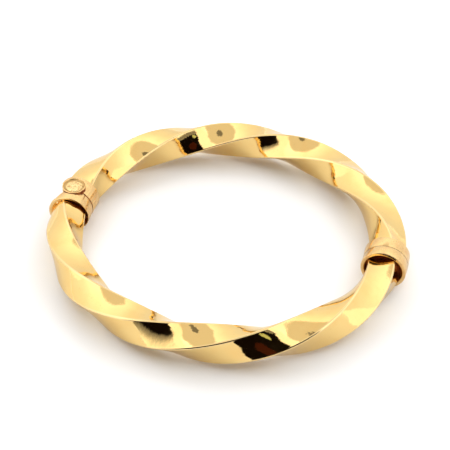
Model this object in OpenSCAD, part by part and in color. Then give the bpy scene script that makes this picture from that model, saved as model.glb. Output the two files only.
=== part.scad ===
// Hinged oval bangle made of a hollow square tube, twisted along its length.
// Two half hoops meet at a hinge at -X and at a clasp at +X. The front half is on
// the -Y side, the back half on the +Y side. The bangle lies on its side on z = 0.

/* [Hoop] */
// Length of the oval hoop along its tube's middle line, from hinge to clasp
hoop_length = 66; // [60:0.5:74]
// Width of the oval hoop along its tube's middle line, across the two arms
hoop_width = 60.9; // [54:0.1:68]

/* [Twisted tube] */
// Side of the tube's square section, flat to flat
tube_side = 5.5; // [4.8:0.1:6.5]
// Wall thickness of the tube
tube_wall = 0.3; // [0.25:0.05:0.4]
// Radius of the tube's rounded ridges
ridge_r = 0.4; // [0.3:0.05:0.7]
// Quarter turns of twist along each arm
quarter_turns = 5; // [2:1:7]
// Angle of a ridge at the hinge, from straight outward towards straight up
twist_start = 65; // [45:1:80]
// How far the twist lags halfway along an arm, in degrees
twist_lag = 7; // [0:0.5:12]
// How far the twist lags a quarter of the way and leads at three quarters, in degrees
twist_wave = 4.4; // [0:0.2:8]
// How far the tube's flats swell out in their middle inside the hinge collars
hinge_swell = 0.4; // [0:0.05:0.5]
// Distance beyond a hinge collar in which the swelling fades away
swell_fade = 6; // [3:0.5:10]

/* [Collars] */
// Gap between the tube's ridges and a collar's bore
collar_gap = 0.13; // [0.1:0.01:0.2]
// Wall of the two collars at the hinge
hinge_collar_wall = 0.45; // [0.4:0.05:0.8]
// Length of the front hinge collar
front_hinge_l = 3.1; // [2.9:0.1:4]
// Length of the back hinge collar
back_hinge_l = 3.9; // [3.7:0.1:4.4]
// How far the hinge collars' bores lie towards the inside of the hoop
bore_shift = 0.25; // [0:0.05:0.3]
// Wall of the two collars at the clasp
clasp_collar_wall = 0.7; // [0.4:0.05:0.9]
// Length of the front clasp collar
front_clasp_l = 2.3; // [2:0.1:3]
// Length of the back clasp collar
back_clasp_l = 2.7; // [2:0.1:3.4]
// Bevel on the rim of each collar's mouth
rim_bevel = 0.15; // [0.05:0.05:0.2]
// How deep the tube sits in a collar's end plate
tube_seat = 0.3; // [0.2:0.05:0.5]

/* [Hinge] */
// Diameter of the hinge barrel's upper and lower leaves
barrel_d = 4.9; // [4.6:0.1:5.1]
// How far the barrel's ends stand out above and below the hinge collars
barrel_rise = 0.1; // [0.05:0.01:0.15]
// Diameter of the dish in each end of the barrel, round the pin's head
dish_d = 4.5; // [4:0.1:4.5]
// Depth of the dish
dish_depth = 0.35; // [0.1:0.05:0.4]
// Distance of the hinge pin behind the line where the two halves meet
pin_setback = 1.05; // [0.8:0.05:1.2]
// Distance of the hinge pin inside the hoop's middle line
pin_inset = 0.15; // [0:0.05:0.3]
// Thickness of the front hinge collar's end plate
front_hinge_plate = 1.8; // [1.7:0.05:2.2]
// Thickness of the back hinge collar's end plate
back_hinge_plate = 3.2; // [3:0.05:3.5]
// Gap between the two collars at the hinge
hinge_gap = 0.2; // [0.1:0.02:0.3]
// Gap between the barrel and the hollow in the front collar
barrel_gap = 0.14; // [0.1:0.01:0.2]
// Diameter of the middle leaf, inside the back collar
middle_leaf_d = 3.4; // [3:0.1:3.6]
// Height of the middle leaf
middle_leaf_h = 2.8; // [2.2:0.1:3.4]
// Gap above and below the middle leaf
leaf_gap = 0.1; // [0.06:0.01:0.16]
// Angle of the front collar's relief face, from the line where the halves meet
front_relief = 53; // [50:1:60]
// Angle of the back collar's relief face, from the arm's own direction
back_relief = 31; // [24:1:36]
// How far inside the barrel's side the back collar's relief face starts
relief_tuck = 0.25; // [0.15:0.05:0.4]
// Width of the lip left on the front collar below its relief
relief_lip = 0.45; // [0.3:0.05:0.6]
// Thickness of the wall that closes the front collar's bore behind the relief
relief_wall = 0.3; // [0.2:0.05:0.4]

/* [Hinge pin] */
// Diameter of the hinge pin's shank
pin_d = 1.6; // [1.4:0.05:1.8]
// Running gap between the pin and the middle leaf's bore, on each side
pin_run_gap = 0.04; // [0.02:0.01:0.08]
// Seat gap between the pin and the outer leaves' bores, on each side
pin_seat_gap = 0.02; // [0.01:0.01:0.04]
// Diameter of the pin's peened heads
pin_head_d = 3.4; // [2.8:0.1:3.6]
// Thickness of the pin's peened heads
pin_head_h = 0.65; // [0.55:0.05:0.8]
// How much of a head's thickness is its rounded top
pin_head_dome = 0.3; // [0.1:0.05:0.35]
// How far a head stands out above the barrel's rim
pin_head_rise = 0.1; // [0.05:0.01:0.15]

/* [Clasp] */
// Gap between the two collars at the clasp
clasp_gap = 0.1; // [0.06:0.01:0.2]
// Thickness of the clasp collars' end plates
clasp_plate = 0.75; // [0.6:0.05:1]
// Width of the tongue's blade, across the tube
tongue_w = 1.8; // [1.4:0.1:2.2]
// Height of the tongue's blade
tongue_h = 2.8; // [2:0.1:3]
// How far the blade reaches into the back half
tongue_reach = 2.4; // [1.5:0.1:3]
// Gap between the blade and the slot that holds it
tongue_seat_gap = 0.04; // [0.02:0.01:0.06]
// Gap between the blade and the slot that it slides into
tongue_slide_gap = 0.15; // [0.1:0.01:0.25]
// How far the tongue's foot stands out beyond its blade on each side
tongue_foot = 0.35; // [0.25:0.05:0.4]
// Thickness of the tongue's foot
tongue_foot_t = 0.6; // [0.4:0.05:0.8]

/* [Hidden] */
// Sides and ends of the hoop, as signs
FRONT = 1;
BACK = -1;
HINGE = -1;
CLASP = 1;
// Steps along one arm, about one for each millimetre
rings = 96;
half_l = hoop_length / 2;
half_w = hoop_width / 2;
half_side = tube_side / 2;
// Ridge to middle line: the square's half diagonal less what the rounding takes off
ridge_reach = half_side * sqrt(2) - ridge_r * (sqrt(2) - 1);
collar_bore_r = ridge_reach + collar_gap;
hinge_collar_r = collar_bore_r + hinge_collar_wall;
clasp_collar_r = collar_bore_r + clasp_collar_wall;
barrel_r = barrel_d / 2;
middle_leaf_r = middle_leaf_d / 2;
leaf_edge = middle_leaf_h / 2 + leaf_gap;
pin_r = pin_d / 2;
barrel_top = hinge_collar_r + barrel_rise;
pin_top = barrel_top + pin_head_rise;
// The widest piece carries the bangle, so its underside sets the middle line's height
mid_z = max(hinge_collar_r, clasp_collar_r, pin_top, ridge_reach);
pin_x = -half_l + pin_inset;
pin_head_r = pin_head_d / 2;
// A block larger than any collar, for cutting away what lies past a plane
block = 4 * clasp_collar_r;

function turned(p, a) = [p[0] * cos(a) - p[1] * sin(a), p[0] * sin(a) + p[1] * cos(a)];

// Quarter of the tube's outer outline: one rounded corner and the middle of the next flat
function outer_quarter(swell) = [
    [half_side, half_side - ridge_r],
    [half_side - ridge_r * (1 - sqrt(0.5)), half_side - ridge_r * (1 - sqrt(0.5))],
    [half_side - ridge_r, half_side],
    [0, half_side + swell]
];

// Quarter of the tube's inner outline: one corner and the middle of the next flat
function inner_quarter(swell) = [
    [half_side - tube_wall, half_side - tube_wall],
    [0, half_side - tube_wall + swell]
];

// Points round the tube's outer and inner outlines
outer_n = 4 * len(outer_quarter(0));
inner_n = 4 * len(inner_quarter(0));

function outline(quarter) = [for (q = [0:3]) for (p = quarter) turned(p, 90 * q)];

// Share t of an arm runs from 0 at the hinge to 1 at the clasp
function middle_line(side, t) = [-half_l * cos(180 * t), -side * half_w * sin(180 * t)];

function outward(side, t) =
    let (p = middle_line(side, t), n = [p[0] / pow(half_l, 2), p[1] / pow(half_w, 2)])
    n / norm(n);

function twist(t) = 90 * quarter_turns * t - twist_lag * sin(180 * t) - twist_wave * sin(360 * t);

// Share of the arm at a distance from the line where the halves meet
function share_at(distance) = asin(distance / half_w) / 180;
clasp_end = 1 - share_at(clasp_plate - tube_seat);

// Swelling of the flats: full inside the hinge collar, and gone swell_fade beyond it
function swell(side, t) =
    let (
        collar_end = share_at(side == FRONT ? front_hinge_l : back_hinge_l),
        left = 1 - (t - collar_end) / share_at(swell_fade)
    )
    hinge_swell * pow(min(1, max(0, left)), 2);

function ring(side, t, quarter) =
    let (c = middle_line(side, t), n = outward(side, t), a = twist_start + side * twist(t) - 45)
    [for (p = outline(quarter))
        let (q = turned(p, a))
        [c[0] + n[0] * q[0], c[1] + n[1] * q[0], mid_z + q[1]]];

// Triangles between ring k and ring k + 1 of n points each, the first ring's points from base
function band(base, k, n, flip) = [
    for (i = [0:n - 1])
        let (a = base + k * n + i, b = base + k * n + (i + 1) % n, c = b + n, d = a + n)
        each flip ? [[a, b, c], [a, c, d]] : [[a, c, b], [a, d, c]]
];

// Triangles that close the wall at one end, outer points from o and inner points from i
function end_wall(o, i, flip) = [
    for (q = [0:3])
        let (
            o0 = o + 4 * q, o4 = o + (4 * q + 4) % outer_n,
            i0 = i + 2 * q, i2 = i + (2 * q + 2) % inner_n,
            faces = [
                [o0, o0 + 1, i0], [o0 + 1, o0 + 2, i0], [o0 + 2, i0 + 1, i0],
                [o0 + 2, o0 + 3, i0 + 1], [o0 + 3, i2, i0 + 1], [o0 + 3, o4, i2]
            ]
        )
        each flip ? [for (f = faces) [f[2], f[1], f[0]]] : faces
];

// One arm's hollow tube, swept along the oval from start to finish
module twisted_tube(side, start, finish) {
    shares = [for (k = [0:rings]) start + (finish - start) * k / rings];
    outer = [for (t = shares) each ring(side, t, outer_quarter(swell(side, t)))];
    inner = [for (t = shares) each ring(side, t, inner_quarter(swell(side, t)))];
    first = len(outer);
    last_outer = rings * outer_n;
    last_inner = first + rings * inner_n;
    flip = side == FRONT;
    polyhedron(
        points = concat(outer, inner),
        faces = concat(
            [for (k = [0:rings - 1]) each band(0, k, outer_n, flip)],
            [for (k = [0:rings - 1]) each band(first, k, inner_n, !flip)],
            end_wall(0, first, flip),
            end_wall(last_outer, last_inner, !flip)
        )
    );
}

// Everything on one side of the line where the halves meet, less the gap there
module half_space(side, gap) {
    translate([-block / 2, side == FRONT ? -block - gap / 2 : gap / 2, -block / 2])
        cube([block, block, block]);
}

// Stands its children along an arm's end: their Z runs down a collar of this length, and
// their Y across it
module along_arm(side, end, length) {
    inset = half_l * (1 - sqrt(1 - pow(length / half_w, 2)));
    translate([end * half_l, 0, mid_z])
        rotate([0, 0, atan2(-side * length, -end * inset)])
            rotate([0, 90, 0])
                children();
}

// Round collar with an end plate, square to the arm at one end of it
module collar(side, end, radius, length, plate, gap, shift = 0) {
    intersection() {
        along_arm(side, end, length)
            difference() {
                rotate_extrude($fn = 96)
                    polygon([
                        [0, -plate], [radius, -plate], [radius, length - rim_bevel],
                        [radius - rim_bevel, length], [0, length]
                    ]);
                translate([0, side * shift, 0])
                    rotate_extrude($fn = 96)
                        polygon([
                            [0, plate], [collar_bore_r, plate], [collar_bore_r, length - rim_bevel],
                            [collar_bore_r + rim_bevel, length], [collar_bore_r + rim_bevel, block],
                            [0, block]
                        ]);
            }
        translate([end * half_l, 0, mid_z]) half_space(side, gap);
    }
}

// Round bar or hole on the hinge pin's axis, its heights measured from the middle line
module on_pin(r, low, high) {
    translate([pin_x, pin_setback, mid_z + low])
        cylinder(r = r, h = high - low, $fn = 64);
}

// The same turned shape at both ends of the hinge pin's axis
module at_pin_ends(points) {
    translate([pin_x, pin_setback, mid_z])
        for (end = [0, 1])
            mirror([0, 0, end])
                rotate_extrude($fn = 64) polygon(points);
}

// Space cleared on the outer side of the front hinge collar, so that the arm can swing
module front_relief_space() {
    run = (front_hinge_l - relief_lip + pin_setback) / sin(front_relief);
    face_end = [-run * cos(front_relief), -run * sin(front_relief)];
    translate([pin_x, pin_setback, mid_z - block / 2])
        linear_extrude(block)
            polygon([[0, 0], face_end, [-block, face_end[1]], [-block, 0]]);
}

// Wall across the front hinge collar's bore and the tube in it, behind the relief
module front_relief_wall() {
    intersection() {
        along_arm(FRONT, HINGE, front_hinge_l)
            cylinder(r = collar_bore_r + hinge_collar_wall / 2, h = front_hinge_l - rim_bevel, $fn = 96);
        translate([relief_wall * tan(front_relief / 2), -relief_wall, 0])
            front_relief_space();
    }
}

// Space cleared on the outer side of the back hinge collar, around the barrel and behind it
module back_relief_space() {
    depth = block;
    start = relief_tuck - barrel_r;
    translate([pin_x, pin_setback, mid_z - block / 2])
        linear_extrude(block)
            polygon([[0, -depth], [0, 0], [start, 0], [start - depth * tan(back_relief), depth],
                     [-block, depth], [-block, -depth]]);
}

// Slice through the back half's barrel in which the front half's plate and middle leaf turn
module swing_space() {
    on_pin(middle_leaf_r + barrel_gap, -leaf_edge, leaf_edge);
    translate([pin_x - block, hinge_gap / 2 - block, mid_z - leaf_edge])
        cube([2 * block, block, 2 * leaf_edge]);
    translate([pin_x - block, pin_setback - block, mid_z - leaf_edge])
        cube([block, block, 2 * leaf_edge]);
}

// Bore through the back half's leaves, with a dish and a recess at each end for the pin's heads
module pin_seat() {
    recess_r = pin_head_r + pin_seat_gap;
    recess_floor = pin_top - pin_head_h - pin_seat_gap;
    on_pin(pin_r + pin_seat_gap, -block, block);
    at_pin_ends([
        [0, recess_floor], [recess_r, recess_floor], [recess_r, barrel_top - dish_depth],
        [dish_d / 2, barrel_top], [dish_d / 2, block], [0, block]
    ]);
}

// Slot for the tongue through the clasp collars' end plates
module tongue_slot(gap) {
    reach = clasp_plate + tube_seat;
    translate([half_l - tongue_w / 2 - gap, -reach, mid_z - tongue_h / 2 - gap])
        cube([tongue_w + 2 * gap, 2 * reach, tongue_h + 2 * gap]);
}

module back_arm() {
    color("#e8b64a") difference() {
        union() {
            difference() {
                collar(BACK, HINGE, hinge_collar_r, back_hinge_l, back_hinge_plate, hinge_gap, bore_shift);
                back_relief_space();
            }
            on_pin(barrel_r, -barrel_top, barrel_top);
            collar(BACK, CLASP, clasp_collar_r, back_clasp_l, clasp_plate, clasp_gap);
            twisted_tube(BACK, share_at(back_hinge_plate - tube_seat), clasp_end);
        }
        swing_space();
        pin_seat();
        tongue_slot(tongue_slide_gap);
    }
}

module front_arm() {
    hollow_r = barrel_r + barrel_gap;
    leaf_top = middle_leaf_h / 2;
    color("#e8b64a") difference() {
        union() {
            difference() {
                union() {
                    collar(FRONT, HINGE, hinge_collar_r, front_hinge_l, front_hinge_plate, hinge_gap,
                           bore_shift);
                    front_relief_wall();
                    twisted_tube(FRONT, share_at(front_hinge_plate - tube_seat), clasp_end);
                }
                front_relief_space();
                on_pin(hollow_r, leaf_top, block);
                on_pin(hollow_r, -block, -leaf_top);
            }
            on_pin(middle_leaf_r, -leaf_top, leaf_top);
            collar(FRONT, CLASP, clasp_collar_r, front_clasp_l, clasp_plate, clasp_gap);
        }
        on_pin(pin_r + pin_run_gap, -block, block);
        tongue_slot(tongue_seat_gap);
    }
}

module hinge_pin() {
    dome_low = pin_top - pin_head_dome;
    color("#d8a545") union() {
        on_pin(pin_r, -dome_low, dome_low);
        at_pin_ends(concat(
            [[0, pin_top - pin_head_h], [pin_head_r, pin_top - pin_head_h]],
            [for (a = [0:15:90]) [pin_head_r * cos(a), dome_low + pin_head_dome * sin(a)]]
        ));
    }
}

module clasp_tongue() {
    foot_face = -clasp_plate - tongue_seat_gap;
    color("#e0ad48") translate([half_l, 0, mid_z]) {
        translate([-tongue_w / 2, foot_face - tongue_foot_t, -tongue_h / 2])
            cube([tongue_w, tongue_reach - foot_face + tongue_foot_t, tongue_h]);
        translate([-tongue_w / 2 - tongue_foot, foot_face - tongue_foot_t, -tongue_h / 2 - tongue_foot])
            cube([tongue_w + 2 * tongue_foot, tongue_foot_t, tongue_h + 2 * tongue_foot]);
    }
}

back_arm();
front_arm();
hinge_pin();
clasp_tongue();
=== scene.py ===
import math

import bmesh
import bpy
from mathutils import Matrix, Vector, noise


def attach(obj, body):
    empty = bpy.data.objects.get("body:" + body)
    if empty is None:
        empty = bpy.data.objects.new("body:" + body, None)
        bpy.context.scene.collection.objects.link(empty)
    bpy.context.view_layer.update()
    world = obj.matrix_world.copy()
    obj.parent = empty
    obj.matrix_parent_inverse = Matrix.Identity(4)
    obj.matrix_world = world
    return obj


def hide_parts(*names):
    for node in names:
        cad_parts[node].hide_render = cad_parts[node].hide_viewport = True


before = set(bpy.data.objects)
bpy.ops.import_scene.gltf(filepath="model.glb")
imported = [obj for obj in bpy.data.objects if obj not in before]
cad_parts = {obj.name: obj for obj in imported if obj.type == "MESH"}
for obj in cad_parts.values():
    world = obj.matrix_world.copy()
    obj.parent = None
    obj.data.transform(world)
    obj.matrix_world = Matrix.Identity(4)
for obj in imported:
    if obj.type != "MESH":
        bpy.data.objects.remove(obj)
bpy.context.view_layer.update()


# The two twisted tubes. Each arm is a hollow tube of square section in 18 carat yellow gold, polished like a mirror.
# The square tube was filled, twisted about its own length and bent to half an oval, so its four ridges wind along it.
# Each end is soldered into a round collar, and the front one is filed away at the hinge so that the arm can swing.

MM = 0.001
HALF_LENGTH = 33.0 * MM
HALF_WIDTH = 30.45 * MM
MIDDLE_Z = 4.5534 * MM
TUBE_SIDE = 5.5 * MM
RIDGE_R = 0.4 * MM
QUARTER_TURNS = 5.0
TWIST_START = math.radians(65)
TWIST_LAG = math.radians(7)
TWIST_WAVE = math.radians(4.4)
HINGE_SWELL = 0.4 * MM
SWELL_FADE = 6.0 * MM
FRONT, BACK = 1, -1
HINGE_COLLAR_L = {FRONT: 3.1 * MM, BACK: 3.9 * MM}
CLASP_COLLAR_L = {FRONT: 2.3 * MM, BACK: 2.7 * MM}
TUBE_FROM = {FRONT: 1.65 * MM, BACK: 2.9 * MM}
TUBE_TO = 0.45 * MM
PIN_X, PIN_Y = 0.15 * MM - HALF_LENGTH, 1.05 * MM
RELIEF = math.radians(53)
RELIEF_LIP = 0.45 * MM
RELIEF_WALL = 0.3 * MM
CROWN = {FRONT: 0.118 * MM, BACK: 0.080 * MM}
CROWN_POWER = 2.7
DENTS, DENTS_PER_METRE = 0.11 * MM, 180.0
RINGS, POINTS_ROUND = 460, 160
TUCKED_SHARE = 0.005
FAR = 20 * MM
GOLD = (0.98, 0.69, 0.27, 1.0)
DEEP_GOLD = (0.98, 0.60, 0.20, 1.0)
# Tarnish for specks and pits; the same colour also paints the shade inside the collars and in their mouths.
TARNISH_AND_SHADE = (0.50, 0.18, 0.05, 1.0)
PALE_GOLD = (1.0, 0.78, 0.46, 1.0)


def node(tree, kind, *values, out=0, **settings):
    """Adds a node and returns one output, or the node itself where out is None.

    A value that is a socket is linked, None is skipped, and any other value is set.
    """
    made = tree.nodes.new(kind)
    for name, value in settings.items():
        setattr(made, name, value)
    sockets = [s for s in made.inputs if s.enabled]
    for socket, value in zip(sockets, values):
        if isinstance(value, bpy.types.NodeSocket):
            tree.links.new(value, socket)
        elif value is not None:
            socket.default_value = value
    return made.outputs[out] if isinstance(out, (int, str)) else made


def math_node(tree, operation, *values):
    return node(tree, "ShaderNodeMath", *values, operation=operation)


def vector_math(tree, operation, *values):
    return node(tree, "ShaderNodeVectorMath", *values, operation=operation)


def fade(tree, value, low, high, at_low=0.0, at_high=1.0):
    """A soft step from one value to another as the input goes from low to high."""
    return node(tree, "ShaderNodeMapRange", value, low, high, at_low, at_high, interpolation_type="SMOOTHSTEP")


def new_group(name, kind, inputs, output, output_kind="Float"):
    """A node group with these inputs, by name and kind, and one output: its tree, and the sockets it is given."""
    tree = bpy.data.node_groups.new(name, kind)
    for socket, socket_kind in inputs.items():
        tree.interface.new_socket(name=socket, in_out="INPUT", socket_type="NodeSocket" + socket_kind)
    tree.interface.new_socket(name=output, in_out="OUTPUT", socket_type="NodeSocket" + output_kind)
    return tree, tree.nodes.new("NodeGroupInput").outputs


def store(tree, geometry, name, value, kind="FLOAT"):
    """Keeps a value on the points, for the sweep or for the material to read."""
    return node(tree, "GeometryNodeStoreNamedAttribute", geometry, None, name, value, domain="POINT", data_type=kind)


def middle_line(tree, given):
    """Half an oval from the hinge to the clasp, tilted point by point as the twist goes."""
    line = node(tree, "GeometryNodeCurvePrimitiveLine", None, (1.0, 0.0, 0.0))
    line = node(tree, "GeometryNodeResampleCurve", line, None, given["Rings"])
    along = node(tree, "GeometryNodeSplineParameter")
    share = node(tree, "ShaderNodeMapRange", along, 0.0, 1.0, given["Start Share"], given["End Share"])
    turn = math_node(tree, "MULTIPLY", share, math.pi)
    cos = math_node(tree, "COSINE", turn)
    sin = math_node(tree, "SINE", turn)
    x = math_node(tree, "MULTIPLY", math_node(tree, "MULTIPLY", cos, given["Half Length"]), -1.0)
    reach = math_node(tree, "MULTIPLY", sin, given["Half Width"])
    y = math_node(tree, "MULTIPLY", math_node(tree, "MULTIPLY", reach, given["Side Sign"]), -1.0)
    place = node(tree, "ShaderNodeCombineXYZ", x, y, given["Middle Height"])

    # Inside the hinge's collar the flats swell, and inside both collars the gold is painted dark: tarnish and painted
    # shade
    past = math_node(tree, "SUBTRACT", share, given["Hinge Collar Share"])
    left = math_node(tree, "SUBTRACT", 1.0, math_node(tree, "DIVIDE", past, given["Fade Share"]))
    left = node(tree, "ShaderNodeClamp", left, 0.0, 1.0)
    swell = math_node(tree, "MULTIPLY", math_node(tree, "POWER", left, 2.0), given["Swell"])
    swell = math_node(tree, "ADD", swell, given["Crown"])
    tucked_shade = fade(tree, past, -TUCKED_SHARE, TUCKED_SHARE / 5, 1.0, 0.0)
    before = math_node(tree, "SUBTRACT", given["Clasp Collar Share"], share)
    tucked_shade = math_node(tree, "MAXIMUM", tucked_shade, fade(tree, before, -TUCKED_SHARE, TUCKED_SHARE / 5, 1.0, 0.0))
    length = math_node(tree, "MULTIPLY", share, math_node(tree, "MULTIPLY", given["Half Length"], 3.0))
    line = store(tree, line, "run", length)
    line = store(tree, line, "swell", swell)
    line = store(tree, line, "tucked_shade", tucked_shade)
    line = node(tree, "GeometryNodeSetPosition", line, None, place)

    # The line's normal points out of the oval, and the tilt from there is the twist
    nx = math_node(tree, "DIVIDE", x, math_node(tree, "POWER", given["Half Length"], 2.0))
    ny = math_node(tree, "DIVIDE", y, math_node(tree, "POWER", given["Half Width"], 2.0))
    outward = vector_math(tree, "NORMALIZE", node(tree, "ShaderNodeCombineXYZ", nx, ny, 0.0))
    line = node(tree, "GeometryNodeSetCurveNormal", line, None, outward, mode="FREE")
    quarter = math_node(tree, "MULTIPLY", given["Quarter Turns"], math.pi / 2)
    even = math_node(tree, "MULTIPLY", share, quarter)
    lag = math_node(tree, "MULTIPLY", sin, given["Lag"])
    wave = math_node(tree, "SINE", math_node(tree, "MULTIPLY", turn, 2.0))
    wave = math_node(tree, "MULTIPLY", wave, given["Wave"])
    twist = math_node(tree, "SUBTRACT", math_node(tree, "SUBTRACT", even, lag), wave)
    start = math_node(tree, "SUBTRACT", given["Twist Start"], math.pi / 4)
    start = math_node(tree, "MULTIPLY", start, given["Side Sign"])
    tilt = math_node(tree, "MULTIPLY", math_node(tree, "ADD", start, twist), -1.0)
    return node(tree, "GeometryNodeSetCurveTilt", line, None, tilt)


def square_section(tree, given):
    """The rounded square: for a point of a ring, the nearest point of a smaller square and the ridge radius out."""
    ring = node(tree, "GeometryNodeCurvePrimitiveCircle", given["Points Round"], given["Side"])
    spot = node(tree, "GeometryNodeInputPosition")
    flat = math_node(tree, "SUBTRACT", math_node(tree, "MULTIPLY", given["Side"], 0.5), given["Ridge Radius"])
    high = node(tree, "ShaderNodeCombineXYZ", flat, flat, 0.0)
    low = vector_math(tree, "SUBTRACT", (0.0, 0.0, 0.0), high)
    near = vector_math(tree, "MINIMUM", vector_math(tree, "MAXIMUM", spot, low), high)
    out = vector_math(tree, "NORMALIZE", vector_math(tree, "SUBTRACT", spot, near))
    step = vector_math(tree, "SCALE", out)
    tree.links.new(given["Ridge Radius"], step.node.inputs["Scale"])
    ring = node(tree, "GeometryNodeSetPosition", ring, None, vector_math(tree, "ADD", near, step))

    # How far across its flat a point lies, from 1 in the middle to 0 at the ridges
    across = node(tree, "ShaderNodeSeparateXYZ", vector_math(tree, "ABSOLUTE", spot), out=None)
    least = math_node(tree, "MINIMUM", across.outputs[0], across.outputs[1])
    least = math_node(tree, "MINIMUM", math_node(tree, "DIVIDE", least, flat), 1.0)
    bulge = math_node(tree, "SUBTRACT", 1.0, math_node(tree, "POWER", least, given["Crown Power"]))
    ring = store(tree, ring, "worn", math_node(tree, "GREATER_THAN", least, 0.999))
    ring = store(tree, ring, "bulge", bulge)
    return store(tree, ring, "section", spot, "FLOAT_VECTOR")


def twisted_tube_tree():
    """Sweeps the rounded square along the tilted half oval, and crowns and dents its flats."""
    numbers = ("Half Length", "Half Width", "Middle Height", "Side", "Ridge Radius", "Twist Start", "Quarter Turns",
               "Lag", "Wave", "Side Sign", "Start Share", "End Share", "Hinge Collar Share", "Clasp Collar Share",
               "Fade Share", "Swell", "Crown", "Crown Power", "Dents", "Dents Per Metre")
    inputs = dict.fromkeys(numbers, "Float") | {"Rings": "Int", "Points Round": "Int", "Finish": "Material"}
    tree, given = new_group("twisted square tube", "GeometryNodeTree", inputs, "Geometry", "Geometry")
    tube = node(tree, "GeometryNodeCurveToMesh", middle_line(tree, given), square_section(tree, given), out=None)
    tube.inputs["Fill Caps"].default_value = True
    tube = tube.outputs[0]
    swell, bulge = (node(tree, "GeometryNodeInputNamedAttribute", name, data_type="FLOAT")
                    for name in ("swell", "bulge"))
    spot = node(tree, "GeometryNodeInputPosition")
    dents = node(tree, "ShaderNodeTexNoise", spot, given["Dents Per Metre"], 3.0, 0.4)
    dents = math_node(tree, "MULTIPLY", math_node(tree, "SUBTRACT", dents, 0.5), given["Dents"])
    lift = math_node(tree, "ADD", math_node(tree, "MULTIPLY", swell, bulge), dents)
    move = vector_math(tree, "SCALE", node(tree, "GeometryNodeInputNormal"))
    tree.links.new(lift, move.node.inputs["Scale"])
    tube = node(tree, "GeometryNodeSetPosition", tube, None, None, move)
    tube = node(tree, "GeometryNodeRealizeInstances", tube)
    tube = node(tree, "GeometryNodeSetMaterial", tube, None, given["Finish"])
    tree.links.new(tube, tree.nodes.new("NodeGroupOutput").inputs[0])
    return tree


def plain_mesh(made):
    """Replaces an object's modifiers by the mesh that they give."""
    bpy.context.view_layer.update()
    seen = made.evaluated_get(bpy.context.evaluated_depsgraph_get())
    mesh = bpy.data.meshes.new_from_object(seen)
    made.modifiers.clear()
    made.data = mesh
    mesh.name = made.name
    mesh.polygons.foreach_set("use_smooth", [True] * len(mesh.polygons))
    return made


def new_object(name, mesh):
    made = bpy.data.objects.new(name, mesh)
    bpy.context.scene.collection.objects.link(made)
    return made


def solid(shape, name):
    """Turns a bmesh into an object, its faces outwards."""
    mesh = bpy.data.meshes.new(name)
    bmesh.ops.recalc_face_normals(shape, faces=shape.faces)
    shape.to_mesh(mesh)
    shape.free()
    return new_object(name, mesh)


def prism(points, low, high):
    """A block with this outline, from one height to another."""
    shape = bmesh.new()
    base = [shape.verts.new((x, y, low)) for x, y in points]
    top = [shape.verts.new((x, y, high)) for x, y in points]
    shape.faces.new(base[::-1])
    shape.faces.new(top)
    for k in range(len(points)):
        m = (k + 1) % len(points)
        shape.faces.new((base[k], base[m], top[m], top[k]))
    return shape


def cut_or_join(made, operation, shapes):
    """Cuts shapes out of an object or joins them to it."""
    tools = []
    for shape in shapes:
        tool = solid(shape, "tool")
        change = made.modifiers.new("change", "BOOLEAN")
        change.operation = operation
        change.solver = "EXACT"
        change.object = tool
        tools.append(tool)
    plain_mesh(made)
    for tool in tools:
        bpy.data.objects.remove(tool)


def relief_space(wall=0.0):
    """The wedge filed off the front arm's end, or the same wedge a wall's thickness deeper."""
    run = (HINGE_COLLAR_L[FRONT] - RELIEF_LIP + PIN_Y) / math.sin(RELIEF)
    x, y = PIN_X + wall * math.tan(RELIEF / 2), PIN_Y - wall
    face_end = (x - run * math.cos(RELIEF), y - run * math.sin(RELIEF))
    return prism([(x, y), face_end, (x - FAR, face_end[1]), (x - FAR, y)], -FAR, FAR)


def hairlines_group():
    """Fine scratches: noise drawn out far along one axis and kept only where it peaks."""
    tree, given = new_group("hairlines", "ShaderNodeTree", {"Place": "Vector", "Stretch": "Vector", "Cover": "Float"},
                            "Lines")
    place = vector_math(tree, "MULTIPLY", given["Place"], given["Stretch"])
    grain = node(tree, "ShaderNodeTexNoise", place, 1.0, 3.0, 0.6)
    edge = math_node(tree, "SUBTRACT", 0.78, math_node(tree, "MULTIPLY", given["Cover"], 0.4))
    lines = node(tree, "ShaderNodeMapRange", grain, edge, math_node(tree, "ADD", edge, 0.08), 0.0, 1.0)
    tree.links.new(lines, tree.nodes.new("NodeGroupOutput").inputs[0])
    return tree


def smudges_group():
    """Soft patches where fingers have dulled the polish."""
    tree, given = new_group("smudges", "ShaderNodeTree", {"Place": "Vector", "Scale": "Float"}, "Mask")
    cloud = node(tree, "ShaderNodeTexNoise", given["Place"], given["Scale"], 4.0, 0.55)
    tree.links.new(fade(tree, cloud, 0.42, 0.72), tree.nodes.new("NodeGroupOutput").inputs[0])
    return tree


def specks_group():
    """Small dark pits and grains of dust, scattered thinly."""
    tree, given = new_group("specks", "ShaderNodeTree", {"Place": "Vector", "Per Metre": "Float", "Size": "Float"},
                            "Specks")
    cells = node(tree, "ShaderNodeTexVoronoi", given["Place"], given["Per Metre"], out=None)
    kept = node(tree, "ShaderNodeSeparateColor", cells.outputs["Color"], out=None).outputs[0]
    kept = math_node(tree, "GREATER_THAN", kept, 0.72)
    near = node(tree, "ShaderNodeMapRange", cells.outputs["Distance"], 0.0, given["Size"], 1.0, 0.0)
    tree.links.new(math_node(tree, "MULTIPLY", near, kept), tree.nodes.new("NodeGroupOutput").inputs[0])
    return tree


HAIRLINES = hairlines_group()
SMUDGES = smudges_group()
SPECKS = specks_group()


def new_metal(name):
    """A bare metal material: its tree, its shader and the Object coordinates."""
    made = bpy.data.materials.new(name)
    made.use_nodes = True
    tree = made.node_tree
    shader = tree.nodes["Principled BSDF"]
    shader.inputs["Metallic"].default_value = 1.0
    place = node(tree, "ShaderNodeTexCoord", out="Object")
    return made, tree, shader, place


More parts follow.
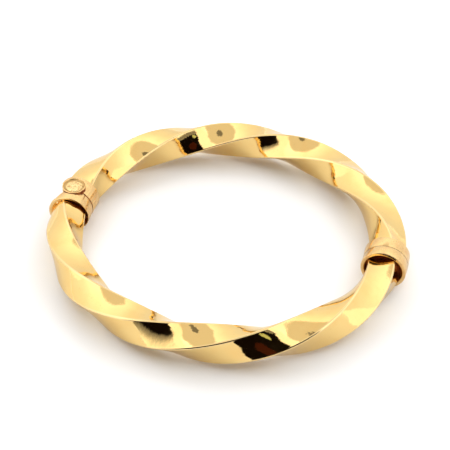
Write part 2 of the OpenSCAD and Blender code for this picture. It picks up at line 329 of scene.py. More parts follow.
def group(tree, kind, *values):
    """Adds a node group and returns its output."""
    made = tree.nodes.new("ShaderNodeGroup")
    made.node_tree = kind
    for socket, value in zip(made.inputs, values):
        if isinstance(value, bpy.types.NodeSocket):
            tree.links.new(value, socket)
        else:
            socket.default_value = value
    return made.outputs[0]


def blend_colour(tree, mask, one, two):
    """One colour where the mask is 0 and the other where it is 1."""
    made = tree.nodes.new("ShaderNodeMix")
    made.data_type = "RGBA"
    tree.links.new(mask, made.inputs["Factor"])
    for socket, value in zip((made.inputs[6], made.inputs[7]), (one, two)):
        if isinstance(value, bpy.types.NodeSocket):
            tree.links.new(value, socket)
        else:
            socket.default_value = value
    return made.outputs[2]


def bump(tree, height, distance, normal=None):
    """Relief of this many metres, over the relief of another bump if one is given."""
    made = tree.nodes.new("ShaderNodeBump")
    made.inputs["Distance"].default_value = distance
    tree.links.new(height, made.inputs["Height"])
    if normal is not None:
        tree.links.new(normal, made.inputs["Normal"])
    return made.outputs["Normal"]


def scaled(tree, value, factor, plus=0.0):
    """The value times a factor, plus a number or another socket."""
    return math_node(tree, "MULTIPLY_ADD", value, factor, plus)


def polished_gold():
    """Mirror polish with hairlines along the tube, faint smudges, fine ripples, and tarnish with painted shade inside
    the collars.
    """
    made, tree, shader, place = new_metal("polished gold")
    section = node(tree, "ShaderNodeAttribute", attribute_name="section", out="Vector")
    run, tucked_shade, worn = (node(tree, "ShaderNodeAttribute", attribute_name=name, out="Fac")
                         for name in ("run", "tucked_shade", "worn"))
    straight = vector_math(tree, "ADD", section, node(tree, "ShaderNodeCombineXYZ", 0.0, 0.0, run))
    lines = group(tree, HAIRLINES, straight, (9000.0, 9000.0, 260.0), 0.15)
    smudge = group(tree, SMUDGES, place, 220.0)
    specks = group(tree, SPECKS, place, 900.0, 0.10)
    colour = blend_colour(tree, scaled(tree, smudge, 0.4), GOLD, DEEP_GOLD)
    colour = blend_colour(tree, scaled(tree, worn, 0.35), colour, PALE_GOLD)
    colour = blend_colour(tree, scaled(tree, specks, 0.5), colour, TARNISH_AND_SHADE)
    # Inside the collars the tube is painted dark: tarnish with painted shade.
    tree.links.new(blend_colour(tree, tucked_shade, colour, TARNISH_AND_SHADE), shader.inputs["Base Color"])
    rough = scaled(tree, smudge, 0.05, 0.04)
    for mark, dulling in ((lines, 0.10), (tucked_shade, 0.3), (worn, 0.08)):
        rough = scaled(tree, mark, dulling, rough)
    tree.links.new(rough, shader.inputs["Roughness"])
    ripples = node(tree, "ShaderNodeTexNoise", place, 450.0, 3.0, 0.5)
    pores = node(tree, "ShaderNodeTexNoise", place, 2600.0, 2.0, 0.5)
    normal = bump(tree, ripples, 0.00002)
    normal = bump(tree, pores, 0.000006, normal=normal)
    normal = bump(tree, lines, 0.000002, normal=normal)
    tree.links.new(normal, shader.inputs["Normal"])
    return made


POLISHED = polished_gold()
TUBE_TREE = twisted_tube_tree()
TUBE_SOCKET = {item.name: item.identifier for item in TUBE_TREE.interface.items_tree if item.in_out == "INPUT"}


def share_at(distance):
    """Share of an arm, from the hinge, at this distance from the line where the two halves meet."""
    return math.asin(distance / HALF_WIDTH) / math.pi


def twisted_tube(name, side):
    """One arm's tube as a plain mesh, filed away at the hinge where it is the front one."""
    made = new_object(name, bpy.data.meshes.new(name))
    shape = made.modifiers.new("tube", "NODES")
    shape.node_group = TUBE_TREE
    for socket, value in {
        "Half Length": HALF_LENGTH, "Half Width": HALF_WIDTH, "Middle Height": MIDDLE_Z,
        "Side": TUBE_SIDE, "Ridge Radius": RIDGE_R, "Twist Start": TWIST_START,
        "Quarter Turns": QUARTER_TURNS, "Lag": TWIST_LAG, "Wave": TWIST_WAVE,
        "Side Sign": float(side), "Start Share": share_at(TUBE_FROM[side]), "End Share": 1 - share_at(TUBE_TO),
        "Hinge Collar Share": share_at(HINGE_COLLAR_L[side]),
        "Clasp Collar Share": 1 - share_at(CLASP_COLLAR_L[side]),
        "Fade Share": share_at(SWELL_FADE), "Swell": HINGE_SWELL,
        "Crown": CROWN[side], "Crown Power": CROWN_POWER, "Dents": DENTS, "Dents Per Metre": DENTS_PER_METRE,
        "Rings": RINGS, "Points Round": POINTS_ROUND, "Finish": POLISHED,
    }.items():
        shape[TUBE_SOCKET[socket]] = value
    plain_mesh(made)
    if side == FRONT:
        cut_or_join(made, "DIFFERENCE", [relief_space(RELIEF_WALL / 2)])
    level = made.modifiers.new("level faces", "WEIGHTED_NORMAL")
    level.weight = 90
    return plain_mesh(made)


front_tube = twisted_tube("front_tube", FRONT)
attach(front_tube, "front_half")
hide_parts("front_arm")
back_tube = twisted_tube("back_tube", BACK)
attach(back_tube, "back_half")
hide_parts("back_arm")


# The two clasp collars, one on each arm. Each is a short gold ring with a closed end, soldered over a tube's end, and
# the two meet face to face with a slot for the catch between them. Opening and closing has rubbed them to a satin.

HINGE, CLASP = -1, 1
BORE_R = 3.853 * MM
CLASP_COLLAR_R = 4.553 * MM
CLASP_PLATE = 0.75 * MM
CLASP_GAP = 0.1 * MM
SLOT_X, SLOT_Z, SLOT_Y = 0.9 * MM, 1.4 * MM, 1.05 * MM
FACE_RIM = 0.35 * MM
LIP = 0.15 * MM
EDGE = 0.07 * MM
SHARP = math.radians(35)
SOLDER_Y = -0.5 * MM
CATCH_SLACK = {FRONT: 0.04 * MM, BACK: 0.15 * MM}
WORN_GOLD = (0.92, 0.62, 0.27, 1.0)
RUBBED_GOLD = (0.85, 0.52, 0.22, 1.0)


def lathe(profile, columns=144):
    """A closed solid turned about +Z from (radius, height) points; a third number moves that loop along Y."""
    shape = bmesh.new()
    loops = []
    for radius, height, *aside in profile:
        y = aside[0] if aside else 0.0
        if radius < 1e-7:
            loops.append([shape.verts.new((0, y, height))])
        else:
            loops.append([shape.verts.new((radius * math.cos(a), y + radius * math.sin(a), height))
                          for a in (2 * math.pi * k / columns for k in range(columns))])
    for one, two in zip(loops, loops[1:] + loops[:1]):
        if len(one) == len(two) == 1:
            continue
        for k in range(columns):
            m = (k + 1) % columns
            corners = [one[k % len(one)], one[m % len(one)], two[m % len(two)], two[k % len(two)]]
            shape.faces.new(list(dict.fromkeys(corners)))
    bmesh.ops.recalc_face_normals(shape, faces=shape.faces)
    return shape


def rounded(corner_r, radius, height, start=0.0, steps=4):
    """Points on a quarter of a circle, its centre at (radius, height)."""
    return [(radius + corner_r * math.cos(math.radians(start + 90.0 * k / steps)),
             height + corner_r * math.sin(math.radians(start + 90.0 * k / steps))) for k in range(steps + 1)]


def along_arm(side, end, length):
    """The place of a collar: its Z runs down the arm's end and its Y lies across it."""
    inset = HALF_LENGTH * (1 - math.sqrt(1 - (length / HALF_WIDTH) ** 2))
    heading = math.atan2(-side * length, -end * inset)
    turn = Matrix.Rotation(heading, 4, "Z") @ Matrix.Rotation(math.pi / 2, 4, "Y")
    return Matrix.Translation((end * HALF_LENGTH, 0, MIDDLE_Z)) @ turn


def saw_off(shape, point, outward):
    """Cuts off what lies beyond a plane, closes the cut and returns the faces that close it."""
    cut = bmesh.ops.bisect_plane(shape, geom=shape.verts[:] + shape.edges[:] + shape.faces[:], dist=1e-9,
                                 plane_co=point, plane_no=outward, clear_outer=True)
    rim = [e for e in cut["geom_cut"] if isinstance(e, bmesh.types.BMEdge)]
    return bmesh.ops.contextual_create(shape, geom=rim)["faces"]


def collar(name, side, end, radius, length, plate, gap, shift=0.0):
    """A ring with a rounded mouth and a closed end, cut where the two halves meet."""
    profile = [(0.0, -plate), (radius, -plate)] + rounded(LIP, radius - LIP, length - LIP)
    bore = rounded(LIP, BORE_R + LIP, length - LIP, start=90.0) + [(BORE_R, plate), (0.0, plate)]
    shape = lathe(profile + [(r, z, side * shift) for r, z in bore])
    shape.transform(along_arm(side, end, length))
    closed = saw_off(shape, (0, -side * gap / 2, 0), (0, side, 0))
    if end == CLASP:
        bmesh.ops.inset_individual(shape, faces=closed, thickness=FACE_RIM)
    return solid(shape, name)


def ease_edges(made, width, segments=2):
    """Rounds the sharp edges and keeps the faces between them flat."""
    soft = made.modifiers.new("edges", "BEVEL")
    soft.width = width
    soft.segments = segments
    soft.limit_method = "ANGLE"
    soft.angle_limit = SHARP
    level = made.modifiers.new("level faces", "WEIGHTED_NORMAL")
    level.weight = 80
    plain_mesh(made)


def satin_gold():
    """Gold rubbed dull by wear, with short hairlines every way, a few smudges and dark specks."""
    made, tree, shader, place = new_metal("satin gold")
    lines = group(tree, HAIRLINES, place, (5200.0, 700.0, 5200.0), 0.45)
    cross = group(tree, HAIRLINES, place, (900.0, 6400.0, 1100.0), 0.3)
    smudge = group(tree, SMUDGES, place, 500.0)
    specks = group(tree, SPECKS, place, 1500.0, 0.16)
    marks = math_node(tree, "MAXIMUM", lines, cross)
    colour = blend_colour(tree, smudge, WORN_GOLD, RUBBED_GOLD)
    tree.links.new(blend_colour(tree, specks, colour, TARNISH_AND_SHADE), shader.inputs["Base Color"])
    rough = scaled(tree, smudge, 0.08, scaled(tree, marks, 0.16, 0.17))
    tree.links.new(rough, shader.inputs["Roughness"])
    dents = node(tree, "ShaderNodeTexNoise", place, 900.0, 3.0, 0.6)
    normal = bump(tree, dents, 0.00003)
    normal = bump(tree, marks, 0.000006, normal=normal)
    tree.links.new(normal, shader.inputs["Normal"])
    return made


def dirty_shaded_gold(name, light, dark):
    """Dull gold for hollows, gaps and dishes: dirt and painted shade."""
    made, tree, shader, place = new_metal(name)
    cloud = group(tree, SMUDGES, place, 900.0)
    tree.links.new(blend_colour(tree, cloud, light, dark), shader.inputs["Base Color"])
    tree.links.new(scaled(tree, cloud, 0.25, 0.42), shader.inputs["Roughness"])
    grit = node(tree, "ShaderNodeTexNoise", place, 4000.0, 3.0, 0.6)
    tree.links.new(bump(tree, grit, 0.00003), shader.inputs["Normal"])
    return made


SATIN = satin_gold()
# The grimy gold is dirt and painted shade in mouths, bores and gaps; the dusty gold is dust with a paler painted shade.
GRIMY_SHADED = dirty_shaded_gold("grimy gold in painted shade", TARNISH_AND_SHADE, (0.20, 0.055, 0.02, 1.0))
DUSTY_SHADED = dirty_shaded_gold("dusty gold in paler painted shade", (0.66, 0.44, 0.18, 1.0), (0.52, 0.32, 0.12, 1.0))
CLEAN, GRIME_SHADE, DUST_SHADE = 0, 1, 2


def finish_piece(made, body, node_name, finish, dirt_and_shade_on=None):
    """Gives a piece its finishes, puts it in its body and hides the CAD node that it stands in for."""
    made.data.materials.clear()
    made.data.materials.append(finish)
    if dirt_and_shade_on:
        for dirt_and_shade in (GRIMY_SHADED, DUSTY_SHADED):
            made.data.materials.append(dirt_and_shade)
        for face in made.data.polygons:
            face.material_index = dirt_and_shade_on(face.center, face.normal)
    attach(made, body)
    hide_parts(node_name)


def inside_collar(side, end, length, gap, shift=0.0):
    """A test for the dirt and painted shade in a collar's mouth and on the faces that look across the gap between the
    halves.
    """
    back = (along_arm(side, end, length) @ Matrix.Translation((0, side * shift, 0))).inverted()

    def dirt_and_shade_on(spot, normal):
        local = back @ spot
        if abs(spot.y) < gap / 2 + EDGE and abs(normal.y) > 0.3:
            inner = end == CLASP and math.hypot(local.x, local.y) < CLASP_COLLAR_R - FACE_RIM
            return CLEAN if inner else GRIME_SHADE
        if math.hypot(local.x, local.y) < BORE_R + 0.2 * LIP and 0 < local.z < length - 0.8 * LIP:
            # The soldered side of the mouth gets the paler painted shade.
            soldered = end == HINGE and side == FRONT and local.y < SOLDER_Y
            return DUST_SHADE if soldered else GRIME_SHADE
        return CLEAN
    return dirt_and_shade_on


def slot_space(gap):
    """Space that the catch's blade passes through."""
    x0, x1 = HALF_LENGTH - SLOT_X - gap, HALF_LENGTH + SLOT_X + gap
    return prism([(x0, -SLOT_Y), (x1, -SLOT_Y), (x1, SLOT_Y), (x0, SLOT_Y)],
                 MIDDLE_Z - SLOT_Z - gap, MIDDLE_Z + SLOT_Z + gap)


for side, name, body, node_name in ((FRONT, "front_clasp_collar", "front_half", "front_arm"),
                                    (BACK, "back_clasp_collar", "back_half", "back_arm")):
    clasp = collar(name, side, CLASP, CLASP_COLLAR_R, CLASP_COLLAR_L[side], CLASP_PLATE, CLASP_GAP)
    cut_or_join(clasp, "DIFFERENCE", [slot_space(CATCH_SLACK[side])])
    ease_edges(clasp, EDGE)
    finish_piece(clasp, body, node_name, SATIN,
                 inside_collar(side, CLASP, CLASP_COLLAR_L[side], CLASP_GAP))


# The back hinge collar with the barrel's upper and lower leaves. The collar is a gold ring soldered to the back arm,
# filed away behind the barrel, and the leaves are one upright gold bar soldered to it, slotted in the middle and
# dished at both ends round the pin's heads.

HINGE_COLLAR_R = 4.303 * MM
HINGE_GAP = 0.32 * MM
BORE_SHIFT = 0.25 * MM
BACK_PLATE = 3.2 * MM
BARREL_R = 2.45 * MM
BARREL_TOP = 4.403 * MM
BARREL_CORNER = 0.1 * MM
DISH_R, DISH_DEPTH, RIM_RUN = 2.25 * MM, 0.35 * MM, 0.22 * MM
RECESS_R, RECESS_FLOOR = 1.72 * MM, 3.833 * MM
LEAF_R, LEAF_EDGE = 1.7 * MM, 1.5 * MM
LEAF_ROOM = 0.14 * MM
BACK_BORE_R = 0.82 * MM
PIN_COLUMNS = 112
HINGE_EDGE = 0.04 * MM
SKIN = 0.02 * MM
PALER_BEYOND_X = 1.5 * MM
BACK_RELIEF = math.radians(31)
RELIEF_TUCK = 0.25 * MM


def on_pin(profile):
    """A round shape on the hinge pin's axis, its heights measured from the tube's middle line."""
    shape = lathe(profile, PIN_COLUMNS)
    shape.transform(Matrix.Translation((PIN_X, PIN_Y, MIDDLE_Z)))
    return shape


def post(radius, low, high):
    return on_pin([(0.0, low), (radius, low), (radius, high), (0.0, high)])


def seat(up):
    """The recess and dish for the pin's head, at the upper or the lower end."""
    profile = [(0.0, RECESS_FLOOR), (RECESS_R, RECESS_FLOOR), (RECESS_R, BARREL_TOP - DISH_DEPTH)]
    profile += [(DISH_R - RIM_RUN * (1 - k / 4), BARREL_TOP - DISH_DEPTH * (1 - (k / 4) ** 1.5)) for k in range(5)]
    profile += [(DISH_R, FAR), (0.0, FAR)]
    return on_pin([(r, up * z) for r, z in profile])


back_hinge = collar("back_hinge_collar", BACK, HINGE, HINGE_COLLAR_R, HINGE_COLLAR_L[BACK], BACK_PLATE, HINGE_GAP,
                    BORE_SHIFT)
slope = math.tan(BACK_RELIEF)
tuck = RELIEF_TUCK - BARREL_R
cut_or_join(back_hinge, "DIFFERENCE", [prism(
    [(PIN_X + x, PIN_Y + y) for x, y in
     ((0, -FAR), (0, 0), (tuck, 0), (tuck - FAR * slope, FAR), (-2 * FAR, FAR), (-2 * FAR, -FAR))], -FAR, FAR)])
corner_at = BARREL_R - BARREL_CORNER
barrel = [(0.0, -BARREL_TOP)] + rounded(BARREL_CORNER, corner_at, BARREL_CORNER - BARREL_TOP, start=-90.0)
barrel += rounded(BARREL_CORNER, corner_at, BARREL_TOP - BARREL_CORNER) + [(0.0, BARREL_TOP)]
cut_or_join(back_hinge, "UNION", [on_pin(barrel)])
cut_or_join(back_hinge, "DIFFERENCE", [
    post(LEAF_R + LEAF_ROOM, -LEAF_EDGE, LEAF_EDGE),
    prism([(PIN_X - FAR, -FAR), (PIN_X + FAR, -FAR), (PIN_X + FAR, HINGE_GAP / 2), (PIN_X - FAR, HINGE_GAP / 2)],
          MIDDLE_Z - LEAF_EDGE, MIDDLE_Z + LEAF_EDGE),
    prism([(PIN_X - FAR, -FAR), (PIN_X, -FAR), (PIN_X, PIN_Y), (PIN_X - FAR, PIN_Y)],
          MIDDLE_Z - LEAF_EDGE, MIDDLE_Z + LEAF_EDGE),
    post(BACK_BORE_R, -FAR, FAR),
    seat(1),
    seat(-1),
])
ease_edges(back_hinge, HINGE_EDGE)
in_back_collar = inside_collar(BACK, HINGE, HINGE_COLLAR_L[BACK], HINGE_GAP, BORE_SHIFT)


def barrel_dirt_and_shade(spot, normal):
    """Dirt and painted shade in the barrel's bore and slot and under its rim, and dust with a paler painted shade on
    the walls of its dishes.
    """
    from_pin = math.hypot(spot.x - PIN_X, spot.y - PIN_Y)
    height = abs(spot.z - MIDDLE_Z)
    if from_pin < RECESS_R + SKIN or (from_pin < BARREL_R and height < LEAF_EDGE + SKIN):
        return GRIME_SHADE
    if abs(from_pin - BARREL_R) < SKIN and height < BARREL_TOP - 0.25 * MM and spot.y < PIN_Y:
        return GRIME_SHADE
    # The walls of the dishes: dust and a paler painted shade.
    if from_pin < DISH_R and height < BARREL_TOP - 0.05 * MM:
        return DUST_SHADE
    return in_back_collar(spot, normal)


def paler_outside(dirt_and_shade_on):
    """The same dirt and painted shade, but only the paler painted shade on the hinge's outer side."""
    def paler(spot, normal):
        dirt_and_shade = dirt_and_shade_on(spot, normal)
        return DUST_SHADE if dirt_and_shade == GRIME_SHADE and spot.x < PIN_X - PALER_BEYOND_X else dirt_and_shade
    return paler


finish_piece(back_hinge, "back_half", "back_arm", SATIN, paler_outside(barrel_dirt_and_shade))


# The front hinge collar with the barrel's middle leaf. It is a shorter gold ring on the front arm, hollowed for the
# barrel and bevelled outside so that the arm can swing. On that side solder fills its mouth round the tube.

LEAF_TOP = 1.4 * MM
FRONT_PLATE = 1.8 * MM
FRONT_BORE_R = 0.84 * MM
HOLLOW_R = BARREL_R + 0.22 * MM
FILL_X = -33.6 * MM
FILL_R, FILL_TO = BORE_R + 0.2 * MM, 3.03 * MM
FILL_COLUMNS = 131

front_hinge = collar("front_hinge_collar", FRONT, HINGE, HINGE_COLLAR_R, HINGE_COLLAR_L[FRONT], FRONT_PLATE,
                     HINGE_GAP, BORE_SHIFT)
filling = lathe([(0.0, 0.0), (FILL_R, 0.0), (FILL_R, FILL_TO), (0.0, FILL_TO)], FILL_COLUMNS)
filling.transform(along_arm(FRONT, HINGE, HINGE_COLLAR_L[FRONT]))
saw_off(filling, (FILL_X, 0, 0), (1, 0, 0))
cut_or_join(front_hinge, "UNION", [filling])
cut_or_join(front_hinge, "DIFFERENCE", [
    relief_space(),
    post(HOLLOW_R, LEAF_TOP, FAR),
    post(HOLLOW_R, -FAR, -LEAF_TOP),
])
cut_or_join(front_hinge, "UNION", [post(LEAF_R, -LEAF_TOP, LEAF_TOP)])
cut_or_join(front_hinge, "DIFFERENCE", [post(FRONT_BORE_R, -FAR, FAR)])
ease_edges(front_hinge, HINGE_EDGE)
in_front_collar = inside_collar(FRONT, HINGE, HINGE_COLLAR_L[FRONT], HINGE_GAP, BORE_SHIFT)


def hollow_dirt_and_shade(spot, normal):
    """Dirt and painted shade in the hollow round the barrel as well."""
    from_pin = math.hypot(spot.x - PIN_X, spot.y - PIN_Y)
    in_hollow = abs(from_pin - HOLLOW_R) < 0.05 * MM and abs(spot.z - MIDDLE_Z) > LEAF_TOP and spot.y < PIN_Y
    return GRIME_SHADE if in_hollow else in_front_collar(spot, normal)


finish_piece(front_hinge, "front_half", "front_arm", SATIN, paler_outside(hollow_dirt_and_shade))


# The hinge pin, a gold rivet through the three leaves. Its ends were hammered over into low lumpy heads that sit in
# the barrel's dishes, and the dishes' walls round them hold dust and a paler painted shade.

PIN_R = 0.8 * MM
HEAD_R = 1.7 * MM
HEAD_LOW, HEAD_RIM, PIN_TOP = 3.853 * MM, 4.203 * MM, 4.503 * MM
HEAD_STEPS = 22
LUMP_SIZE, LUMP_DEPTH = 1.05 * MM, 0.30 * MM
PIT_X, PIT_Y = -1.25 * MM, 0.1 * MM
PIT_R, PIT_DEPTH = 0.42 * MM, 0.24 * MM
BRIGHT_GOLD = (1.0, 0.76, 0.36, 1.0)


def peened_gold():
    """Hammered gold: dull and dented, dark where the dents are deep."""
    made, tree, shader, place = new_metal("peened gold")
    blows = node(tree, "ShaderNodeTexNoise", place, 2600.0, 3.0, 0.55)
    smudge = group(tree, SMUDGES, place, 1400.0)
    deep = fade(tree, blows, 0.36, 0.5, 1.0, 0.0)
    colour = blend_colour(tree, scaled(tree, smudge, 0.6), BRIGHT_GOLD, WORN_GOLD)
    tree.links.new(blend_colour(tree, scaled(tree, deep, 0.6), colour, TARNISH_AND_SHADE), shader.inputs["Base Color"])
    tree.links.new(scaled(tree, smudge, 0.2, 0.26), shader.inputs["Roughness"])
    tree.links.new(bump(tree, blows, 0.00008), shader.inputs["Normal"])
    return made


PEENED = peened_gold()


def hammered_rivet():
    """The rivet's outline turned round, and the tops of its heads beaten into lumps."""
    dome = [(HEAD_R * k / HEAD_STEPS, HEAD_RIM + (PIN_TOP - HEAD_RIM) * math.sqrt(1 - (k / HEAD_STEPS) ** 2))
            for k in range(HEAD_STEPS + 1)]
    upper = [(PIN_R, HEAD_LOW), (HEAD_R, HEAD_LOW)] + dome[::-1]
    shape = lathe([(r, -z) for r, z in upper[::-1]] + upper, PIN_COLUMNS)
    for vert in shape.verts:
        reach = math.hypot(vert.co.x, vert.co.y)
        height = abs(vert.co.z)
        if height > HEAD_RIM - 0.01 * MM and reach < HEAD_R * 0.999:
            spot = vert.co / LUMP_SIZE
            beaten = 0.5 + 0.5 * noise.noise(spot + Vector((3.1, 7.7, 1.3))) + 0.25 * noise.noise(spot * 2.7)
            lump = LUMP_DEPTH * beaten + 0.02 * MM
            pit = math.hypot(vert.co.x - PIT_X, vert.co.y - PIT_Y) / PIT_R
            lump += PIT_DEPTH * math.exp(-pit * pit)
            vert.co.z -= math.copysign(min(lump, height - HEAD_LOW - 0.05 * MM), vert.co.z)
    shape.transform(Matrix.Translation((PIN_X, PIN_Y, MIDDLE_Z)))
    return shape


hinge_pin = plain_mesh(solid(hammered_rivet(), "hinge_pin_rivet"))
finish_piece(hinge_pin, "back_half", "hinge_pin", PEENED)


# The clasp tongue, the hidden catch. It is one plain gold blade with a wider foot, fixed in the front clasp collar,
# and it slides into the back one. The photo shows the bangle closed, so its shape is a plain guess.

FOOT_X, FOOT_Z = 1.25 * MM, 1.75 * MM
FOOT_FROM, FOOT_TO, BLADE_TO = -1.39 * MM, -0.79 * MM, 2.4 * MM
TONGUE_EDGE = 0.12 * MM


def tongue_block(wide, tall, start, end):
    """A block on the clasp's middle line, with its half width, its half height and its run across the gap."""
    return prism([(HALF_LENGTH - wide, start), (HALF_LENGTH + wide, start), (HALF_LENGTH + wide, end),
                  (HALF_LENGTH - wide, end)], MIDDLE_Z - tall, MIDDLE_Z + tall)


tongue = solid(tongue_block(SLOT_X, SLOT_Z, FOOT_FROM, BLADE_TO), "clasp_tongue_blade")
cut_or_join(tongue, "UNION", [tongue_block(FOOT_X, FOOT_Z, FOOT_FROM, FOOT_TO)])
ease_edges(tongue, TONGUE_EDGE, segments=3)
finish_piece(tongue, "front_half", "clasp_tongue", SATIN)


# The table: a wide sheet of white paper, lit softly from all sides. The gold in the photo mirrors it greyer than this
# tent would show it, so rays from the gold see a greyer paper.

PAPER = (0.94, 0.94, 0.94, 1.0)
# The greyer paper that the gold mirrors is a painted shade.
MIRRORED_PAPER_SHADE = (0.74, 0.74, 0.74, 1.0)

table = solid(prism([(-6, -6), (6, -6), (6, 6), (-6, 6)], -0.02, 0.0), "table")
paper = bpy.data.materials.new("white paper")
paper.use_nodes = True
paper_shader = paper.node_tree.nodes["Principled BSDF"]
reflected = node(paper.node_tree, "ShaderNodeLightPath", out="Is Glossy Ray")
paper.node_tree.links.new(blend_colour(paper.node_tree, reflected, PAPER, MIRRORED_PAPER_SHADE),
                          paper_shader.inputs["Base Color"])
paper_shader.inputs["Roughness"].default_value = 0.7
paper_shader.inputs["Specular IOR Level"].default_value = 0.1
table.data.materials.append(paper)


# The light tent: a bright cloth all round, a slanted front wall with a dark opening in it between two dimmer borders, a
# round lamp cloth overhead with a dark button in its middle, and a dark room beyond the opening. The cards' corners
# and radii are in millimetres, and the opening and its borders are in metres.

WALL_Y, SLANT = -96.1, 0.214
WALL_LEFT, WALL_RIGHT, WALL_TOP = -900, 900, 250
ROOM_LEFT, ROOM_Y, ROOM_LOW = -330, -700, 195
HOLE_LINE = [(-0.0350, 0.1080), (0.0480, 0.1150), (0.1080, 0.1430)]
HOLE_LEFT, HOLE_RIGHT = HOLE_LINE[0][0], HOLE_LINE[-1][0]
HOLE_BLUR = 0.004
BORDER_LEFT, BORDER_RIGHT, BORDER_BLUR = -0.0650, 0.1370, 0.010
CLOTH_GLOW, BORDER_GLOW = 1.42, 0.24
LAMP_X, LAMP_Y, LAMP_Z = -9, 40, 345
SKY = [(0, 1.04), (15, 1.12), (30, 1.23), (45, 1.48), (60, 1.66), (90, 1.6)]
BRIGHTEST = 2.0
TABLE_LIGHT = 1.66


def grey(level):
    return (level, level, level, 1.0)


def emission(name, colour):
    made = bpy.data.materials.new(name)
    made.use_nodes = True
    tree = made.node_tree
    tree.nodes.remove(tree.nodes["Principled BSDF"])
    glow = tree.nodes.new("ShaderNodeEmission")
    glow.inputs["Color"].default_value = colour
    tree.links.new(glow.outputs[0], tree.nodes["Material Output"].inputs["Surface"])
    return made


def card(name, corners, finish, faces=None):
    """A flat card of the tent that only reflections see."""
    mesh = bpy.data.meshes.new(name)
    mesh.from_pydata([Vector(c) * MM for c in corners], [], faces or [tuple(range(len(corners)))])
    made = new_object(name, mesh)
    mesh.materials.append(finish)
    made.visible_camera = False
    made.visible_diffuse = False
    made.visible_shadow = False
    made.visible_transmission = False
    made.visible_volume_scatter = False
    return made


def round_card(name, centre, radius, finish, facing=(0, 0, 1)):
    turn = Vector(facing).to_track_quat("Z", "Y")
    return card(name, [Vector(centre) + turn @ Vector((radius * math.cos(a), radius * math.sin(a), 0))
                       for a in (math.pi * k / 32 for k in range(64))], finish)


def tent_wall():
    """The front wall's cloth: bright, with a dimmer border at both sides, and cut through by the opening."""
    made = emission("tent wall", grey(CLOTH_GLOW))
    tree = made.node_tree
    place = node(tree, "ShaderNodeSeparateXYZ", node(tree, "ShaderNodeTexCoord", out="Object"), out=None)
    x, z = place.outputs["X"], place.outputs["Z"]
    line = HOLE_LINE[0][1]
    for (x0, z0), (x1, z1) in zip(HOLE_LINE, HOLE_LINE[1:]):
        line = math_node(tree, "ADD", line, node(tree, "ShaderNodeMapRange", x, x0, x1, 0.0, z1 - z0))
    above = math_node(tree, "SUBTRACT", z, line)
    hole = math_node(tree, "MULTIPLY", fade(tree, x, HOLE_LEFT - HOLE_BLUR, HOLE_LEFT + HOLE_BLUR),
                     fade(tree, x, HOLE_RIGHT - HOLE_BLUR, HOLE_RIGHT + HOLE_BLUR, 1.0, 0.0))
    hole = math_node(tree, "MULTIPLY", hole, fade(tree, above, -HOLE_BLUR, HOLE_BLUR, 1.0, 0.0))
    border = math_node(tree, "MULTIPLY", fade(tree, x, BORDER_LEFT - BORDER_BLUR, HOLE_LEFT),
                       fade(tree, x, BORDER_RIGHT - BORDER_BLUR, BORDER_RIGHT + BORDER_BLUR, 1.0, 0.0))
    beside = math_node(tree, "MAXIMUM", fade(tree, x, HOLE_LEFT, HOLE_LEFT + 0.030, 1.0, 0.0),
                       fade(tree, x, HOLE_RIGHT - 0.005, HOLE_RIGHT + 0.005))
    beside = math_node(tree, "MULTIPLY", beside, fade(tree, above, 0.006, 0.018, 1.0, 0.0))
    border = math_node(tree, "MULTIPLY", border, beside)
    glow = tree.nodes["Emission"]
    tree.links.new(blend_colour(tree, border, grey(CLOTH_GLOW), grey(BORDER_GLOW)), glow.inputs["Color"])
    clear = tree.nodes.new("ShaderNodeBsdfTransparent")
    both = tree.nodes.new("ShaderNodeMixShader")
    for socket, value in zip(both.inputs, (hole, glow.outputs[0], clear.outputs[0])):
        tree.links.new(value, socket)
    tree.links.new(both.outputs[0], tree.nodes["Material Output"].inputs["Surface"])
    return made


left_y, right_y = WALL_Y + WALL_LEFT * SLANT, WALL_Y + WALL_RIGHT * SLANT
card("tent_front_wall", [(WALL_LEFT, left_y, 0), (WALL_RIGHT, right_y, 0), (WALL_RIGHT, right_y, WALL_TOP),
                         (WALL_LEFT, left_y, WALL_TOP)], tent_wall())
outline = [(ROOM_LEFT, ROOM_Y), (WALL_RIGHT, ROOM_Y), (WALL_RIGHT, right_y - 3),
           (ROOM_LEFT, WALL_Y + ROOM_LEFT * SLANT - 3)]
lid = (1200, 1700, ROOM_LOW, ROOM_LOW)
card("dark_room", [(x, y, 0.3) for x, y in outline] + [(x, y, z) for (x, y), z in zip(outline, lid)],
     emission("dark room", (0.004, 0.002, 0.001, 1.0)),
     [(0, 1, 2, 3), (4, 5, 6), (4, 6, 7), (0, 1, 5, 4), (1, 2, 6, 5), (3, 0, 4, 7)])
round_card("far_window", (176, -169, 190), 22, emission("far window", (0.594, 0.666, 0.36, 1.0)), (-160, 141, -183))
round_card("far_wood", (207, -440, 250), 90, emission("far wood", (0.045, 0.009, 0.003, 1.0)), (0, 1, 0))
ceiling = round_card("ceiling_cloth", (LAMP_X, LAMP_Y, LAMP_Z), 180,
                     emission("ceiling cloth", (0.84, 0.80, 0.76, 1.0)))
ceiling.visible_diffuse = True
round_card("ceiling_hoop", (LAMP_X, LAMP_Y, LAMP_Z + 0.5), 194, emission("ceiling hoop", grey(1.0)))
round_card("ceiling_button", (-4, 14, LAMP_Z - 1), 36, emission("ceiling button", grey(0.22)))

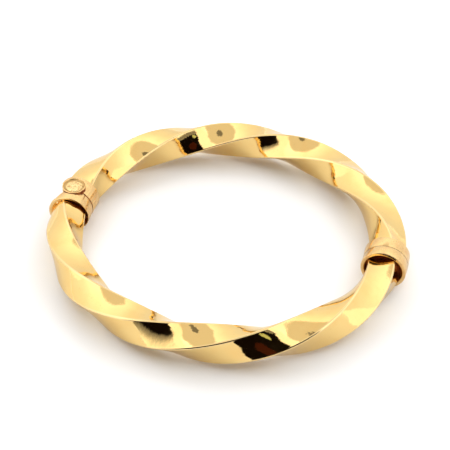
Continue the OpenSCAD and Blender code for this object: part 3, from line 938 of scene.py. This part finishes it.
# The cloth all round is brighter higher up. Reflections see it a little brighter ahead than behind, and the table is
# lit by all of it but its lower front.
world = bpy.data.worlds.new("light tent")
bpy.context.scene.world = world
world.use_nodes = True
tree = world.node_tree
ray = node(tree, "ShaderNodeSeparateXYZ", node(tree, "ShaderNodeTexCoord", out="Generated"), out=None)
rise = scaled(tree, math_node(tree, "ARCSINE", ray.outputs["Z"]), 2 / math.pi)
ramp = tree.nodes.new("ShaderNodeValToRGB")
tree.links.new(rise, ramp.inputs["Fac"])
while len(ramp.color_ramp.elements) < len(SKY):
    ramp.color_ramp.elements.new(0.5)
for element, (degrees, value) in zip(ramp.color_ramp.elements, SKY):
    element.position = degrees / 90
    element.color = grey(value / BRIGHTEST)
ahead = fade(tree, ray.outputs["Y"], -0.9, 0.9, 1.09, 0.88)
low_front = math_node(tree, "MULTIPLY", fade(tree, ray.outputs["Y"], -0.05, -0.35),
                      fade(tree, ray.outputs["Z"], 0.96, 0.75))
on_table = scaled(tree, low_front, -TABLE_LIGHT, TABLE_LIGHT)
diffuse = node(tree, "ShaderNodeLightPath", out="Is Diffuse Ray")
level = node(tree, "ShaderNodeMix", diffuse, ahead, on_table, data_type="FLOAT")
background = tree.nodes["Background"]
tree.links.new(ramp.outputs["Color"], background.inputs["Color"])
tree.links.new(scaled(tree, level, BRIGHTEST), background.inputs["Strength"])
bpy.context.scene.view_settings.view_transform = "Standard"


# The camera, a little to the right of the front and above the bangle, as the photo was taken. Its place and its lens
# were fitted to the ridges and the collars in the photo.

ELEVATION, AZIMUTH = math.radians(42.28), math.radians(15.51)
TARGET, DISTANCE = Vector((-0.001838, 0.006213, 0.000844)), 0.2762
LENS, SENSOR = 105.49, 36.0

camera_data = bpy.data.cameras.new("camera")
camera = bpy.data.objects.new("camera", camera_data)
bpy.context.scene.collection.objects.link(camera)
bpy.context.scene.camera = camera
camera_data.lens = LENS
camera_data.sensor_width = SENSOR
camera_data.clip_start = 0.01
camera_data.clip_end = 20.0
away = Vector((math.sin(AZIMUTH) * math.cos(ELEVATION), -math.cos(AZIMUTH) * math.cos(ELEVATION),
               math.sin(ELEVATION)))
camera.location = TARGET + away * DISTANCE
camera.rotation_mode = "QUATERNION"
camera.rotation_quaternion = (-away).to_track_quat("-Z", "Y")
